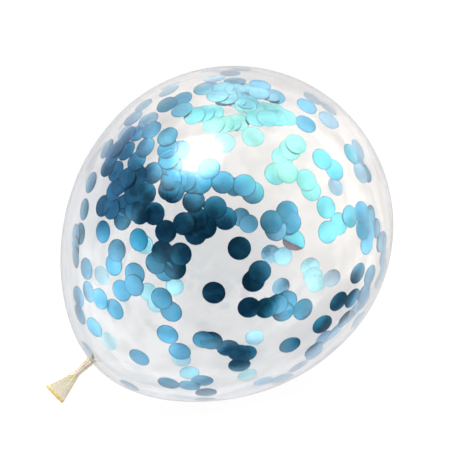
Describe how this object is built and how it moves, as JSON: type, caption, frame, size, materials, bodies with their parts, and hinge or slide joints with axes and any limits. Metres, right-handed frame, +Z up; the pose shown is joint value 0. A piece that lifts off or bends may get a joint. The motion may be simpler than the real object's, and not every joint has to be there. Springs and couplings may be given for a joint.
{
  "type": "confetti balloon",
  "caption": "Clear latex party balloon, blown up and lying on its side, with blue foil confetti sealed inside, a thin neck and a flat open mouth with a rolled lip.",
  "frame": {"origin": "middle of the small flat spot that the balloon rests on", "axes": "+X towards the crown, with the neck and mouth towards -X; +Z up from the surface it lies on; -Z out of the flat spot"},
  "size_m": [0.3613, 0.3, 0.3058],
  "materials": {
    "clear_latex": "clear latex stretched thin, smooth and glossy",
    "milky_latex": "unstretched cream latex of the neck, mouth and rolled lip, satin",
    "blue_foil": "metallic light blue foil confetti, glossy on both sides"
  },
  "bodies": {
    "root": {"latex_balloon": "clear_latex"}
  },
  "joints": []
}
